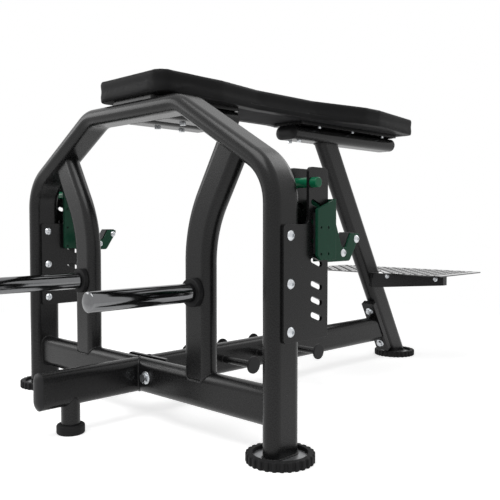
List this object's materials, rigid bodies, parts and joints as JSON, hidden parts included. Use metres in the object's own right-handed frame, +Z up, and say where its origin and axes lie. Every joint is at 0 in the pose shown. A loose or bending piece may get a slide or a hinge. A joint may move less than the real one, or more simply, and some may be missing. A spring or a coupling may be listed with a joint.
{
  "type": "seal row bench",
  "caption": "Seal row bench: bent oval-tube arch with plate horns, sliding bar cups on slotted towers, waisted pad and rear tread plate.",
  "frame": {"origin": "on the floor under the middle of the whole bench", "axes": "+X to the right seen from the arch end, +Y from the arch to the rear leg, +Z up"},
  "size_m": [1.2778, 1.807, 0.993],
  "materials": {
    "frame_paint": "semi-matte black powder coat",
    "cup_paint": "green powder coat",
    "horn_chrome": "polished chrome plate",
    "pin_steel": "ground steel",
    "disc_steel": "zinc-plated steel",
    "zinc": "zinc plate",
    "rubber": "matt black rubber",
    "cap_plastic": "matt black plastic",
    "nylon": "black nylon",
    "board": "dark board",
    "vinyl": "black upholstery vinyl over foam",
    "tread": "black powder coat on chequered tread plate"
  },
  "bodies": {
    "frame": {"arch_frame": "frame_paint", "cross_tube": "frame_paint", "front_stub": "frame_paint", "stub_cap": "cap_plastic", "stub_post": "frame_paint", "stub_foot": "rubber", "base_beam": "frame_paint", "beam_front_flange": "frame_paint", "beam_rear_flange": "frame_paint", "leg_flange": "frame_paint", "base_bolts": "zinc", "flange_bolts": "zinc", "left_upright": "frame_paint", "right_upright": "frame_paint", "left_horn": "horn_chrome", "right_horn": "horn_chrome", "left_horn_collar": "rubber", "right_horn_collar": "rubber", "left_foot": "rubber", "right_foot": "rubber", "rear_foot": "rubber", "base_discs": "disc_steel", "left_outer_plate": "frame_paint", "right_outer_plate": "frame_paint", "left_inner_plate": "frame_paint", "right_inner_plate": "frame_paint", "left_plate_bolts": "zinc", "right_plate_bolts": "zinc", "left_stop_rod": "cup_paint", "right_stop_rod": "cup_paint", "rear_leg": "frame_paint", "left_pad_arm": "frame_paint", "right_pad_arm": "frame_paint", "arm_caps": "cap_plastic", "rear_top_tube": "frame_paint", "top_tube_caps": "cap_plastic", "front_pad_plate": "frame_paint", "rear_pad_plate": "frame_paint", "pad_bolts": "zinc", "pad_board": "board", "bench_pad": "vinyl", "foot_plate": "tread", "foot_plate_wing": "frame_paint", "foot_plate_bolts": "zinc", "storage_pegs": "frame_paint", "peg_discs": "cap_plastic"},
    "left_cup": {"left_cup_carriage": "cup_paint", "left_slide_liners": "nylon", "left_cup_liner": "nylon", "left_cup_bolts": "zinc", "left_pin_barrel": "zinc"},
    "right_cup": {"right_cup_carriage": "cup_paint", "right_slide_liners": "nylon", "right_cup_liner": "nylon", "right_cup_bolts": "zinc", "right_pin_barrel": "zinc"},
    "left_pin": {"left_lock_pin": "pin_steel", "left_pull_knob": "cap_plastic"},
    "right_pin": {"right_lock_pin": "pin_steel", "right_pull_knob": "cap_plastic"}
  },
  "joints": [
    {"name": "left_cup_height", "type": "slide", "parent": "frame", "child": "left_cup", "axis": [0, 0, 1], "range_m": [-0.1795, 0.0465]},
    {"name": "left_pin_pull", "type": "slide", "parent": "left_cup", "child": "left_pin", "axis": [-1, 0, 0], "range_m": [0, 0.014]},
    {"name": "right_cup_height", "type": "slide", "parent": "frame", "child": "right_cup", "axis": [0, 0, 1], "range_m": [-0.1795, 0.0465]},
    {"name": "right_pin_pull", "type": "slide", "parent": "right_cup", "child": "right_pin", "axis": [1, 0, 0], "range_m": [0, 0.014]}
  ]
}
